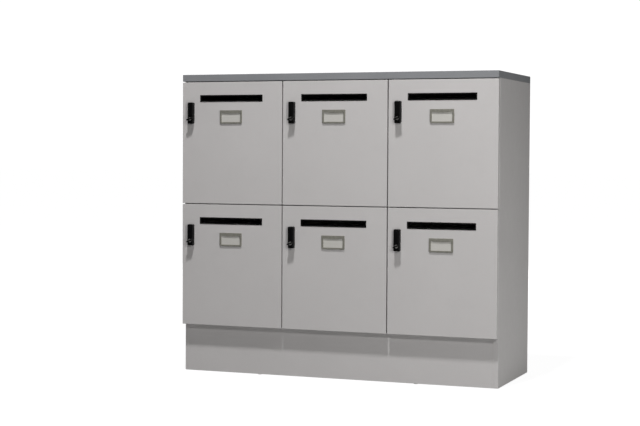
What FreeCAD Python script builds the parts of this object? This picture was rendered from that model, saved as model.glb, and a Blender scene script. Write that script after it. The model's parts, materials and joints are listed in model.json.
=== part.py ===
import FreeCAD, Part
import math
import os
from dataclasses import dataclass

from FreeCAD import Vector

# A board cabinet of mailboxes: two rows of three hinged doors, each with a mail slot, a label holder and a lock.
# The origin is on the floor, in the middle of the cabinet with its keys in. +X is right, +Y goes to the back,
# +Z is up. All sizes are in millimetres.

# Whole cabinet, from the faces of its shut doors to its back
WIDTH = 1200.0
HEIGHT = 1100.0
DEPTH = 460.0

# Boards
BOARD = 18.0
TOP_BOARD = 25.0
BACK_BOARD = 8.0
BACK_INSET = 10.0
GROOVE_DEPTH = 6.0
EDGE_ROUND = 1.0
PLINTH_HEIGHT = 160.0
PLINTH_RECESS = 6.0

# Floor glides
GLIDE_HEIGHT = 2.0
GLIDE_RADIUS = 7.0
GLIDE_INSET = 40.0
PLINTH_GLIDE_X = 300.0

# Dowels: the part in the face of a board, and the whole length
DOWEL_RADIUS = 4.0
DOWEL_LENGTH = 36.0
DOWEL_IN_FACE = 12.0
DOWEL_INSET = 60.0
DOWEL_STAGGER = 32.0

# Doors
COLUMNS = ("left", "middle", "right")
ROWS = ("lower", "upper")
DOOR_THICKNESS = 18.0
DOOR_HEIGHT = 446.0
DOOR_STANDOFF = 3.0
COLUMN_GAP = 4.5
ROW_GAP = 3.5
TOP_GAP = 3.0

# The mail slot and the label holder sit a little to the left of the door's middle
FITTING_OFFSET = -2.3

# Mail slot: the size of its lip, which covers the cut in the door
SLOT_WIDTH = 250.0
SLOT_HEIGHT = 25.0
SLOT_DROP = 60.0
LIP_WIDTH = 3.0
LIP_PROUD = 1.0
LIP_CORNER = 1.0
LINER_WALL = 1.5
LINER_TAIL = 1.0

# Label holder
LABEL_WIDTH = 88.0
LABEL_HEIGHT = 49.0
LABEL_DROP = 103.5
LABEL_PROUD = 3.2
LABEL_SIDE_RIM = 7.0
LABEL_TOP_RIM = 9.7
LABEL_BOTTOM_RIM = 6.0
LABEL_ARCH = 2.2
LABEL_NOTCH = 3.0
LABEL_CHAMFER = 1.0
CARD_POCKET = 1.0
CARD_MARGIN = 4.0

# Lock body, nut and barrel
LOCK_WIDTH = 23.0
LOCK_HEIGHT = 78.0
LOCK_DEPTH = 15.0
LOCK_INSET = 37.0
LOCK_DROP = 74.5
LOCK_CORNER = 4.0
LOCK_EDGE = 3.0
LOCK_AXIS_RISE = 17.5
BARREL_RADIUS = 8.0
BARREL_TAIL = 5.5
NUT_SIDES = 6
NUT_RADIUS = 12.0
NUT_THICKNESS = 4.0

# Lock core, which turns in the barrel, with its cam and the cam's screw
CORE_RADIUS = 5.0
CORE_CLEARANCE = 0.05
CORE_FACE_RADIUS = 6.5
CORE_FACE_THICKNESS = 1.2
CORE_FACE_GAP = 0.3
CAM_GAP = 3.7
CAM_THICKNESS = 2.5
CAM_REACH = 15.5
CAM_HALF_WIDTH = 6.0
TAIL_SQUARE = 6.0
CAM_SCREW_RADIUS = 1.5
CAM_SCREW_HEAD_RADIUS = 4.5
CAM_SCREW_HEAD = 2.2
CAM_SCREW_LENGTH = 8.0

# Key, which stands askew in the lock while it is open
KEY_REACH = 24.0
KEY_TURN = 19.0
BOW_WIDTH = 25.0
BOW_LENGTH = 6.5
BOW_THICKNESS = 4.4
BOW_CORNER = 3.0
BLADE_WIDTH = 7.0
BLADE_THICKNESS = 2.2
BLADE_IN_CORE = 22.0

# Strike plate behind which the cam turns
STRIKE_THICKNESS = 2.0
STRIKE_SETBACK = 5.5
STRIKE_LENGTH = 30.0
STRIKE_HALF_HEIGHT = 15.0
STRIKE_FLANGE_HALF_HEIGHT = 12.0
STRIKE_TO_AXIS = 8.5
STRIKE_SCREW_AT = (11.0, 23.0)

# Concealed hinges: a cup in the door turns on a pin in the eye of a gooseneck arm
HINGE_INSET = 75.0
PIN_FROM_EDGE = 7.4
PIN_FROM_REAR = 11.2
PIN_RADIUS = 1.2
PIN_HALF_LENGTH = 8.6
PIN_CLEARANCE = 0.05
CUP_FROM_EDGE = 20.5
CUP_RADIUS = 17.5
CUP_WALL = 1.0
CUP_DEPTH = 14.3
CUP_FLOOR = 0.6
FLANGE_RADIUS = 18.5
FLANGE_THICKNESS = 1.0
FLANGE_HALF_HEIGHT = 26.0
FLANGE_HALF_WIDTH = 7.0
ARM_WIDTH = 10.0
ARM_THICKNESS = 2.4
EYE_RADIUS = 2.2
NECK_LENGTH = 15.0
SHOULDER_SETBACK = 12.0
FOOT_LENGTH = 42.0
FOOT_WIDTH = 18.0
ELBOW_ROUND = 1.6
ARM_SCREW_AT = (12.0, 30.0)

# Pan head screws of the hinge arms and the strike plates
SCREW_RADIUS = 1.8
SCREW_LENGTH = 12.0
SCREW_HEAD_RADIUS = 3.4
SCREW_HEAD = 1.8

# Places that follow from the sizes above
DOOR_FACE = (KEY_REACH - DEPTH) / 2
DOOR_REAR = DOOR_FACE + DOOR_THICKNESS
CARCASS_FRONT = DOOR_REAR + DOOR_STANDOFF
PLINTH_FRONT = CARCASS_FRONT + PLINTH_RECESS
REAR = DOOR_FACE + DEPTH
BACK_FRONT = REAR - BACK_INSET - BACK_BOARD
BACK_REAR = REAR - BACK_INSET
TOP_UNDERSIDE = HEIGHT - TOP_BOARD
HALF_WIDTH = WIDTH / 2
INNER_HALF = HALF_WIDTH - BOARD
COMPARTMENT_FLOOR = PLINTH_HEIGHT + BOARD
DOOR_WIDTH = (WIDTH - COLUMN_GAP * (len(COLUMNS) - 1)) / len(COLUMNS)
COLUMN_PITCH = DOOR_WIDTH + COLUMN_GAP
ROW_PITCH = DOOR_HEIGHT + ROW_GAP
LOWEST_DOOR = TOP_UNDERSIDE - TOP_GAP - DOOR_HEIGHT - ROW_PITCH
SHELF_MIDDLE = LOWEST_DOOR + DOOR_HEIGHT + ROW_GAP / 2
PARTITION_MIDDLES = (-COLUMN_PITCH / 2, COLUMN_PITCH / 2)
PIN_Y = DOOR_REAR - PIN_FROM_REAR
CAM_FRONT = DOOR_REAR + BARREL_TAIL + CAM_GAP
CAM_REAR = CAM_FRONT + CAM_THICKNESS
CORE_FACE_REAR = DOOR_FACE - LOCK_DEPTH - CORE_FACE_GAP
CORE_FACE_FRONT = CORE_FACE_REAR - CORE_FACE_THICKNESS

ALONG_X = Vector(1, 0, 0)
ALONG_Y = Vector(0, 1, 0)
ALONG_Z = Vector(0, 0, 1)


@dataclass(frozen=True)
class Cell:
    """One mailbox: its door's lower left corner and the boards at its two sides."""

    name: str
    left: float
    bottom: float
    strike_board: float
    hinge_board: float

    @property
    def right(self):
        return self.left + DOOR_WIDTH

    @property
    def top(self):
        return self.bottom + DOOR_HEIGHT

    @property
    def middle(self):
        return self.left + DOOR_WIDTH / 2

    @property
    def fitting_x(self):
        return self.middle + FITTING_OFFSET

    @property
    def slot_z(self):
        return self.top - SLOT_DROP

    @property
    def lock_x(self):
        return self.left + LOCK_INSET

    @property
    def lock_top(self):
        return self.top - LOCK_DROP

    @property
    def lock_z(self):
        return self.lock_top - LOCK_HEIGHT + LOCK_AXIS_RISE

    @property
    def pin_x(self):
        return self.right - PIN_FROM_EDGE

    @property
    def cup_x(self):
        return self.right - CUP_FROM_EDGE

    @property
    def hinge_heights(self):
        return (self.bottom + HINGE_INSET, self.top - HINGE_INSET)


def block(x_span, y_span, z_span):
    """A box between two limits along each axis."""
    size = [high - low for low, high in (x_span, y_span, z_span)]
    return Part.makeBox(*size, Vector(x_span[0], y_span[0], z_span[0]))


def around(middle, half):
    """The two limits that lie half to each side of a middle."""
    return (middle - half, middle + half)


def rod(radius, start, direction, length):
    """A round bar from a point."""
    return Part.makeCylinder(radius, length, start, direction)


def rod_back(radius, x, z, y_span):
    """A round bar that runs to the back."""
    return rod(radius, Vector(x, y_span[0], z), ALONG_Y, y_span[1] - y_span[0])


def edges_along(shape, direction):
    """The straight edges of a shape that run along a direction."""
    least_cosine = 0.999
    straight = [edge for edge in shape.Edges if isinstance(edge.Curve, Part.Line)]
    return [edge for edge in straight if abs(edge.Curve.Direction.dot(direction)) > least_cosine]


def edges_at_front(shape, y):
    """The edges of a shape that lie wholly in an upright plane."""
    box_tolerance = 1e-4
    return [
        edge for edge in shape.Edges
        if abs(edge.BoundBox.YMin - y) < box_tolerance and abs(edge.BoundBox.YMax - y) < box_tolerance
    ]


def joined(first, *others):
    """One solid from shapes that touch or overlap."""
    return first.multiFuse(list(others)).removeSplitter()


def cells():
    """The mailboxes, row by row from the bottom left."""
    strike_boards = (-INNER_HALF,) + tuple(middle + BOARD / 2 for middle in PARTITION_MIDDLES)
    hinge_boards = tuple(middle - BOARD / 2 for middle in PARTITION_MIDDLES) + (INNER_HALF,)
    found = []
    for row, row_name in enumerate(ROWS):
        for column, column_name in enumerate(COLUMNS):
            found.append(Cell(
                name=f"{row_name}_{column_name}",
                left=-HALF_WIDTH + column * COLUMN_PITCH,
                bottom=LOWEST_DOOR + row * ROW_PITCH,
                strike_board=strike_boards[column],
                hinge_board=hinge_boards[column],
            ))
    return found


# Carcass boards

def top_panel():
    """The thick top, flush with the door faces and with its edges softened."""
    panel = block((-HALF_WIDTH, HALF_WIDTH), (DOOR_FACE, REAR), (TOP_UNDERSIDE, HEIGHT))
    panel = panel.makeFillet(EDGE_ROUND, panel.Edges)
    return panel.cut(back_panel())


def side_panel(outer, inner):
    """A side that stands on the floor, cut back to the plinth at its toe, with a groove for the back panel."""
    thickness = (min(outer, inner), max(outer, inner))
    panel = block(thickness, (CARCASS_FRONT, REAR), (GLIDE_HEIGHT, TOP_UNDERSIDE))
    toe = block(thickness, (CARCASS_FRONT, PLINTH_FRONT), (GLIDE_HEIGHT, COMPARTMENT_FLOOR))
    panel = panel.cut(toe)
    panel = panel.makeFillet(EDGE_ROUND, edges_along(panel, ALONG_Z))
    return panel.cut(back_panel())


def bottom_panel():
    """The floor of the lower row, flush with the plinth."""
    panel = block((-INNER_HALF, INNER_HALF), (PLINTH_FRONT, BACK_FRONT), (PLINTH_HEIGHT, COMPARTMENT_FLOOR))
    return panel.makeFillet(EDGE_ROUND, edges_along(panel, ALONG_Z))


def partition(middle):
    """An upright between two columns."""
    return block(
        around(middle, BOARD / 2), (CARCASS_FRONT, BACK_FRONT), (COMPARTMENT_FLOOR, TOP_UNDERSIDE))


def shelf(x_span):
    """The board between the two mailboxes of a column."""
    return block(x_span, (CARCASS_FRONT, BACK_FRONT), around(SHELF_MIDDLE, BOARD / 2))


def back_panel():
    """The thin back, held in grooves in the sides and the top."""
    reach = INNER_HALF + GROOVE_DEPTH
    return block((-reach, reach), (BACK_FRONT, BACK_REAR), (PLINTH_HEIGHT, TOP_UNDERSIDE + GROOVE_DEPTH))


def plinth(y_front):
    """A board under the cabinet, between the sides."""
    board = block((-INNER_HALF, INNER_HALF), (y_front, y_front + BOARD), (GLIDE_HEIGHT, PLINTH_HEIGHT))
    return board.makeFillet(EDGE_ROUND, edges_along(board, ALONG_Z))


def floor_glides(plinth_fronts):
    """Flat plastic discs under the sides and the plinths."""
    places = []
    for side_x in around(0.0, HALF_WIDTH - BOARD / 2):
        places += [(side_x, CARCASS_FRONT + GLIDE_INSET), (side_x, REAR - GLIDE_INSET)]
    for plinth_y in plinth_fronts:
        places += [(x, plinth_y + BOARD / 2) for x in around(0.0, PLINTH_GLIDE_X)]
    return [rod(GLIDE_RADIUS, Vector(x, y, 0), ALONG_Z, GLIDE_HEIGHT) for x, y in places]


def dowel(at, into_end):
    """A dowel through the joint of a board's end with another board's face."""
    return rod(DOWEL_RADIUS, at - into_end * DOWEL_IN_FACE, into_end, DOWEL_LENGTH)


def dowels(shelf_spans, plinth_fronts):
    """All the dowels of the carcass."""
    front = CARCASS_FRONT + DOWEL_INSET
    rear = BACK_FRONT - DOWEL_INSET
    rows = (front, (front + rear) / 2, rear)
    pins = []
    for sign in (-1, 1):
        face = sign * INNER_HALF
        inwards = ALONG_X * -sign
        for y in rows:
            pins.append(dowel(Vector(face, y, PLINTH_HEIGHT + BOARD / 2), inwards))
            pins.append(dowel(Vector(face + sign * BOARD / 2, y, TOP_UNDERSIDE), -ALONG_Z))
        for y in plinth_fronts:
            for z in around((GLIDE_HEIGHT + PLINTH_HEIGHT) / 2, DOWEL_STAGGER):
                pins.append(dowel(Vector(face, y + BOARD / 2, z), inwards))
    for middle in PARTITION_MIDDLES:
        for y in (front, rear):
            pins.append(dowel(Vector(middle, y, COMPARTMENT_FLOOR), ALONG_Z))
            pins.append(dowel(Vector(middle, y, TOP_UNDERSIDE), -ALONG_Z))
    for left, right in shelf_spans:
        for y in (front, rear):
            pins.append(dowel(Vector(left, y, SHELF_MIDDLE), ALONG_X))
            pins.append(dowel(Vector(right, y + DOWEL_STAGGER / 2, SHELF_MIDDLE), -ALONG_X))
    return pins


# Doors and what is fixed on them

def slot_cut(cell, half_width, half_height, y_span):
    """A bar of the mail slot's section."""
    return block(around(cell.fitting_x, half_width), y_span, around(cell.slot_z, half_height))


def door_panel(cell):
    """A door with its cut for the mail slot, its lock hole and its hinge bores."""
    panel = block((cell.left, cell.right), (DOOR_FACE, DOOR_REAR), (cell.bottom, cell.top))
    panel = panel.makeFillet(EDGE_ROUND, panel.Edges)
    slot = slot_cut(cell, SLOT_WIDTH / 2 - LIP_WIDTH, SLOT_HEIGHT / 2 - LIP_WIDTH, (DOOR_FACE, DOOR_REAR))
    lock_hole = rod_back(BARREL_RADIUS, cell.lock_x, cell.lock_z, (DOOR_FACE, DOOR_REAR))
    bores = [
        rod_back(CUP_RADIUS, cell.cup_x, z, (DOOR_REAR - CUP_DEPTH, DOOR_REAR)) for z in cell.hinge_heights
    ]
    return panel.cut([slot, lock_hole] + bores)


def slot_liner(cell):
    """A sleeve through the door with a thin lip around the mail slot."""
    lip = slot_cut(cell, SLOT_WIDTH / 2, SLOT_HEIGHT / 2, (DOOR_FACE - LIP_PROUD, DOOR_FACE))
    lip = lip.makeFillet(LIP_CORNER, edges_along(lip, ALONG_Y))
    sleeve_half_width = SLOT_WIDTH / 2 - LIP_WIDTH
    sleeve_half_height = SLOT_HEIGHT / 2 - LIP_WIDTH
    sleeve = slot_cut(cell, sleeve_half_width, sleeve_half_height, (DOOR_FACE, DOOR_REAR + LINER_TAIL))
    opening = slot_cut(
        cell,
        sleeve_half_width - LINER_WALL,
        sleeve_half_height - LINER_WALL,
        (DOOR_FACE - LIP_PROUD, DOOR_REAR + LINER_TAIL),
    )
    return joined(lip, sleeve).cut(opening)


def label_holder(cell):
    """A card frame with an arched top rim, cut lower corners and a pocket behind it."""
    top = cell.top - LABEL_DROP
    bottom = top - LABEL_HEIGHT
    half = LABEL_WIDTH / 2
    front = DOOR_FACE - LABEL_PROUD
    outline = [
        (-half, top),
        (half, top),
        (half, bottom + LABEL_NOTCH),
        (half - LABEL_NOTCH, bottom),
        (LABEL_NOTCH - half, bottom),
        (-half, bottom + LABEL_NOTCH),
        (-half, top),
    ]
    corners = [Vector(cell.fitting_x + x, front, z) for x, z in outline]
    frame = Part.Face(Part.makePolygon(corners)).extrude(ALONG_Y * LABEL_PROUD)
    frame = frame.makeChamfer(LABEL_CHAMFER, edges_at_front(frame, front))

    window_half = half - LABEL_SIDE_RIM
    window_top = top - LABEL_TOP_RIM
    window_bottom = bottom + LABEL_BOTTOM_RIM
    low_left = Vector(cell.fitting_x - window_half, front, window_bottom)
    low_right = Vector(cell.fitting_x + window_half, front, window_bottom)
    high_left = Vector(cell.fitting_x - window_half, front, window_top)
    high_right = Vector(cell.fitting_x + window_half, front, window_top)
    arch = Vector(cell.fitting_x, front, window_top - LABEL_ARCH)
    sides = [
        Part.makeLine(high_left, low_left),
        Part.makeLine(low_left, low_right),
        Part.makeLine(low_right, high_right),
        Part.Arc(high_right, arch, high_left).toShape(),
    ]
    window = Part.Face(Part.Wire(sides)).extrude(ALONG_Y * LABEL_PROUD)
    pocket = block(
        around(cell.fitting_x, half - CARD_MARGIN),
        (DOOR_FACE - CARD_POCKET, DOOR_FACE),
        (bottom + LABEL_NOTCH, top - CARD_MARGIN),
    )
    return frame.cut([window, pocket])


def lock_body(cell):
    """The bar on the door's face with the barrel through the door, and the nut behind it."""
    housing_front = DOOR_FACE - LOCK_DEPTH
    housing = block(
        around(cell.lock_x, LOCK_WIDTH / 2),
        (housing_front, DOOR_FACE),
        (cell.lock_top - LOCK_HEIGHT, cell.lock_top),
    )
    housing = housing.makeFillet(LOCK_CORNER, edges_along(housing, ALONG_Y))
    housing = housing.makeFillet(LOCK_EDGE, edges_at_front(housing, housing_front))
    barrel_end = DOOR_REAR + BARREL_TAIL
    barrel = rod_back(BARREL_RADIUS, cell.lock_x, cell.lock_z, (DOOR_FACE, barrel_end))
    bore = rod_back(CORE_RADIUS + CORE_CLEARANCE, cell.lock_x, cell.lock_z, (housing_front, barrel_end))
    return [joined(housing, barrel).cut(bore), lock_nut(cell, barrel)]


def lock_nut(cell, barrel):
    """The six-sided nut that clamps the lock to the door."""
    corners = []
    for step in range(NUT_SIDES + 1):
        angle = 2 * math.pi * step / NUT_SIDES
        x = cell.lock_x + NUT_RADIUS * math.cos(angle)
        z = cell.lock_z + NUT_RADIUS * math.sin(angle)
        corners.append(Vector(x, DOOR_REAR, z))
    return Part.Face(Part.makePolygon(corners)).extrude(ALONG_Y * NUT_THICKNESS).cut(barrel)


# Turning parts of the lock

def key_blade(cell):
    """The flat blade of the key, before it is turned."""
    return block(
        around(cell.lock_x, BLADE_WIDTH / 2),
        (CORE_FACE_FRONT - BOW_LENGTH / 4, CORE_FACE_FRONT + BLADE_IN_CORE),
        around(cell.lock_z, BLADE_THICKNESS / 2),
    )


def turned(cell, shape):
    """A shape turned about the lock's axis to the key's place in the open lock."""
    return shape.rotated(Vector(cell.lock_x, 0, cell.lock_z), ALONG_Y, -KEY_TURN)


def key(cell):
    """The key: a flat bow with round corners, and its blade."""
    front = DOOR_FACE - KEY_REACH
    bow = block(
        around(cell.lock_x, BOW_WIDTH / 2),
        (front, front + BOW_LENGTH),
        around(cell.lock_z, BOW_THICKNESS / 2),
    )
    bow = bow.makeFillet(BOW_CORNER, edges_along(bow, ALONG_Z))
    return turned(cell, joined(bow, key_blade(cell)))


def lock_core(cell):
    """The plug with its face and square tail, the cam that points down while open, and its screw."""
    tail_front = CAM_FRONT
    axis = (cell.lock_x, cell.lock_z)
    face = rod_back(CORE_FACE_RADIUS, *axis, (CORE_FACE_FRONT, CORE_FACE_REAR))
    plug = rod_back(CORE_RADIUS, *axis, (CORE_FACE_REAR, tail_front))
    tail = block(
        around(cell.lock_x, TAIL_SQUARE / 2), (tail_front, CAM_REAR), around(cell.lock_z, TAIL_SQUARE / 2))
    screw_head = rod_back(CAM_SCREW_HEAD_RADIUS, *axis, (CAM_REAR, CAM_REAR + CAM_SCREW_HEAD))
    screw_shank = rod_back(CAM_SCREW_RADIUS, *axis, (CAM_REAR - CAM_SCREW_LENGTH, CAM_REAR))
    screw = joined(screw_head, screw_shank)
    plug = joined(face, plug, tail).cut([turned(cell, key_blade(cell)), screw])

    tip_z = cell.lock_z - CAM_REACH + CAM_HALF_WIDTH
    cam = joined(
        rod_back(CAM_HALF_WIDTH, *axis, (CAM_FRONT, CAM_REAR)),
        block(around(cell.lock_x, CAM_HALF_WIDTH), (CAM_FRONT, CAM_REAR), (tip_z, cell.lock_z)),
        rod_back(CAM_HALF_WIDTH, cell.lock_x, tip_z, (CAM_FRONT, CAM_REAR)),
    )
    return [plug, cam.cut(tail), screw]


# Strike plates

def screw_into_board(board_face, into_board, y, z, plate):
    """A pan head screw that holds a plate on the face of a board."""
    under_head = Vector(board_face, y, z) - into_board * plate
    head = rod(SCREW_HEAD_RADIUS, under_head, -into_board, SCREW_HEAD)
    return joined(head, rod(SCREW_RADIUS, under_head, into_board, SCREW_LENGTH))


def strike_screws(cell):
    """The two screws of a strike plate."""
    y_start = DOOR_REAR + STRIKE_SETBACK
    return [
        screw_into_board(cell.strike_board, -ALONG_X, y_start + at, cell.lock_z, STRIKE_THICKNESS)
        for at in STRIKE_SCREW_AT
    ]


def strike_plate(cell):
    """An angle on the board beside the lock, whose flange stands between the door and the cam."""
    y_start = DOOR_REAR + STRIKE_SETBACK
    leg = block(
        (cell.strike_board, cell.strike_board + STRIKE_THICKNESS),
        (y_start, y_start + STRIKE_LENGTH),
        around(cell.lock_z, STRIKE_HALF_HEIGHT),
    )
    flange = block(
        (cell.strike_board, cell.lock_x - STRIKE_TO_AXIS),
        (y_start, y_start + STRIKE_THICKNESS),
        around(cell.lock_z, STRIKE_FLANGE_HALF_HEIGHT),
    )
    return joined(leg, flange).cut(strike_screws(cell))


# Hinges

def hinge_cup(cell, z):
    """A round cup sunk in the door's back, with a flange and the pin across it."""
    front = DOOR_REAR - CUP_DEPTH
    flange_rear = DOOR_REAR + FLANGE_THICKNESS
    shell = rod_back(CUP_RADIUS, cell.cup_x, z, (front, DOOR_REAR))
    disc = rod_back(FLANGE_RADIUS, cell.cup_x, z, (DOOR_REAR, flange_rear))
    wings = block(
        around(cell.cup_x, FLANGE_HALF_WIDTH), (DOOR_REAR, flange_rear), around(z, FLANGE_HALF_HEIGHT))
    wings = wings.makeFillet(FLANGE_HALF_WIDTH / 2, edges_along(wings, ALONG_Y))
    hollow = rod_back(CUP_RADIUS - CUP_WALL, cell.cup_x, z, (front + CUP_FLOOR, flange_rear))
    pin = rod(PIN_RADIUS, Vector(cell.pin_x, PIN_Y, z - PIN_HALF_LENGTH), ALONG_Z, 2 * PIN_HALF_LENGTH)
    cup = joined(shell, disc, wings).cut([hollow, pin])
    return [cup, pin]


def arm_screws(cell, z):
    """The two screws of a hinge arm's foot."""
    shoulder = CARCASS_FRONT + SHOULDER_SETBACK
    return [
        screw_into_board(cell.hinge_board, ALONG_X, shoulder + at, z, ARM_THICKNESS) for at in ARM_SCREW_AT
    ]


def hinge_arm(cell, z):
    """A bent arm from the pin in the cup, round to a foot on the board beside the door."""
    half = ARM_THICKNESS / 2
    elbow = cell.pin_x - NECK_LENGTH
    shoulder = CARCASS_FRONT + SHOULDER_SETBACK
    height = around(z, ARM_WIDTH / 2)
    eye = rod(EYE_RADIUS, Vector(cell.pin_x, PIN_Y, height[0]), ALONG_Z, ARM_WIDTH)
    neck = block((elbow - half, cell.pin_x), around(PIN_Y, half), height)
    leg = block(around(elbow, half), (PIN_Y - half, shoulder), height)
    bridge = block((elbow - half, cell.hinge_board), (shoulder - ARM_THICKNESS, shoulder), height)
    foot = block(
        (cell.hinge_board - ARM_THICKNESS, cell.hinge_board),
        (shoulder - ARM_THICKNESS, shoulder + FOOT_LENGTH),
        around(z, FOOT_WIDTH / 2),
    )
    foot = foot.makeFillet(FOOT_WIDTH / 4, edges_along(foot, ALONG_X))
    bend = joined(neck, leg)
    outer_bends = [
        edge for edge in edges_along(bend, ALONG_Z)
        if abs(edge.BoundBox.XMin - (elbow - half)) < half / 2 and edge.BoundBox.YMin < PIN_Y
    ]
    bend = bend.makeFillet(ELBOW_ROUND, outer_bends)
    pin_bore = rod(PIN_RADIUS + PIN_CLEARANCE, Vector(cell.pin_x, PIN_Y, height[0]), ALONG_Z, ARM_WIDTH)
    return joined(bend, eye, bridge, foot).cut([pin_bore] + arm_screws(cell, z))


def carcass():
    """The fixed pieces, as lists of solids by node name."""
    rear_plinth_y = BACK_REAR - BOARD
    plinth_fronts = (PLINTH_FRONT, rear_plinth_y)
    inner_edges = [-INNER_HALF]
    for middle in PARTITION_MIDDLES:
        inner_edges += around(middle, BOARD / 2)
    inner_edges.append(INNER_HALF)
    shelf_spans = list(zip(inner_edges[0::2], inner_edges[1::2]))

    boards = {
        "top_panel": top_panel(),
        "left_side_panel": side_panel(-HALF_WIDTH, -INNER_HALF),
        "right_side_panel": side_panel(HALF_WIDTH, INNER_HALF),
        "left_partition": partition(PARTITION_MIDDLES[0]),
        "right_partition": partition(PARTITION_MIDDLES[1]),
        "bottom_panel": bottom_panel(),
        "back_panel": back_panel(),
        "front_plinth": plinth(PLINTH_FRONT),
        "rear_plinth": plinth(rear_plinth_y),
    }
    for name, span in zip(COLUMNS, shelf_spans):
        boards[f"{name}_shelf"] = shelf(span)

    hinges = [(cell, z) for cell in cells() for z in cell.hinge_heights]
    groups = {
        "dowels": dowels(shelf_spans, plinth_fronts),
        "floor_glides": floor_glides(plinth_fronts),
        "strike_plates": [strike_plate(cell) for cell in cells()],
        "strike_screws": [screw for cell in cells() for screw in strike_screws(cell)],
        "hinge_arms": [hinge_arm(cell, z) for cell, z in hinges],
        "hinge_arm_screws": [screw for cell, z in hinges for screw in arm_screws(cell, z)],
    }
    sunk = groups["dowels"] + groups["strike_screws"] + groups["hinge_arm_screws"]
    drilled = {name: [board.cut(sunk)] for name, board in boards.items()}
    return {**drilled, **groups}


def door_pieces(cell):
    """The pieces of one door, as lists of solids by node name."""
    return {
        f"{cell.name}_door_panel": [door_panel(cell)],
        f"{cell.name}_slot_liner": [slot_liner(cell)],
        f"{cell.name}_label_holder": [label_holder(cell)],
        f"{cell.name}_lock_body": lock_body(cell),
        f"{cell.name}_lock_core": lock_core(cell),
        f"{cell.name}_key": [key(cell)],
        f"{cell.name}_hinge_cups": [part for z in cell.hinge_heights for part in hinge_cup(cell, z)],
    }


def main():
    """Writes one file per node."""
    os.makedirs("parts", exist_ok=True)
    nodes = carcass()
    for cell in cells():
        nodes.update(door_pieces(cell))
    for name, pieces in nodes.items():
        solids = [solid for piece in pieces for solid in piece.Solids]
        shape = solids[0] if len(solids) == 1 else Part.makeCompound(solids)
        shape.exportStep(f"parts/{name}.step")
    print(len(nodes), "nodes")


main()
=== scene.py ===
"""Looks of a board mailbox cabinet: finishes for its solids, and its hardware modelled as separate pieces.

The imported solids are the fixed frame. All sizes are in metres, in that frame: +X is right, +Y goes to the
back and +Z is up.
"""

import json
import logging
import math
from abc import ABC, abstractmethod
from contextlib import contextmanager
from dataclasses import dataclass
from enum import Enum
from typing import Callable, ClassVar, Iterator, Sequence

import bmesh
import bpy
from mathutils import Matrix, Vector


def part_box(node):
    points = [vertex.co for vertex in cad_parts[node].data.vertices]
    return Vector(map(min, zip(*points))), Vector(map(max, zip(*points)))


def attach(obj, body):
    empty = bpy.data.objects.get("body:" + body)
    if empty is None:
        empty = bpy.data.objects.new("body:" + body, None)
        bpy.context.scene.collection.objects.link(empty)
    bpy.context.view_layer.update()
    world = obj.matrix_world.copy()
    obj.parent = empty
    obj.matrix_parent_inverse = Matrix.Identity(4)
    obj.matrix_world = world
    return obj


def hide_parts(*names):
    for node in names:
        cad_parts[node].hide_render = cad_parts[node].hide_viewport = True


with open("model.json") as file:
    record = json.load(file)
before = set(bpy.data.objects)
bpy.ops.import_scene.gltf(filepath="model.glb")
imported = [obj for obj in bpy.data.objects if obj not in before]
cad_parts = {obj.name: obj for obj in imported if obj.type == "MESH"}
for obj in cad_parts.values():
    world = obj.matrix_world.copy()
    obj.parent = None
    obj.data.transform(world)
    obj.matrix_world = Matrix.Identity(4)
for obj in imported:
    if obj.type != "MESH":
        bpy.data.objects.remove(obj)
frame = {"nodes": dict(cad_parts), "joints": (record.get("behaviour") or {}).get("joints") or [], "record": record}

Piece = bpy.types.Object
Socket = bpy.types.NodeSocket
Element = bmesh.types.BMVert | bmesh.types.BMEdge | bmesh.types.BMFace
Test = Callable[[Element], bool]
Triple = tuple[float, float, float]
Colour = Triple
Place = Triple

LOG = logging.getLogger("mailbox_cabinet")
TOUCH = 1e-5
ALIGNED = 0.999
WHITE = (1.0, 1.0, 1.0, 1.0)


class Row(Enum):
    """The two rows of mailboxes."""

    LOWER = "lower"
    UPPER = "upper"


class Column(Enum):
    """The three columns of mailboxes."""

    LEFT = "left"
    MIDDLE = "middle"
    RIGHT = "right"


class Carrier(Enum):
    """Which of a mailbox's bodies carries a piece."""

    DOOR = "door"
    LOCK = "lock"


class Pick(Enum):
    """What an edit picks: points, edges or faces."""

    POINT = "VERT"
    EDGE = "EDGE"
    FACE = "FACE"


class Blend(Enum):
    """How a second mesh changes a piece."""

    ADD = "UNION"
    CUT = "DIFFERENCE"


class Direction(Enum):
    """The three axes of the frame."""

    X = (1.0, 0.0, 0.0)
    Y = (0.0, 1.0, 0.0)
    Z = (0.0, 0.0, 1.0)

    @property
    def vector(self) -> Vector:
        """The axis as a vector."""
        return Vector(self.value)

    def stretch(self, factor: float) -> Triple:
        """A scale that is longer along this axis only."""
        return tuple(factor if along else 1.0 for along in self.value)


# Finishes

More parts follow.
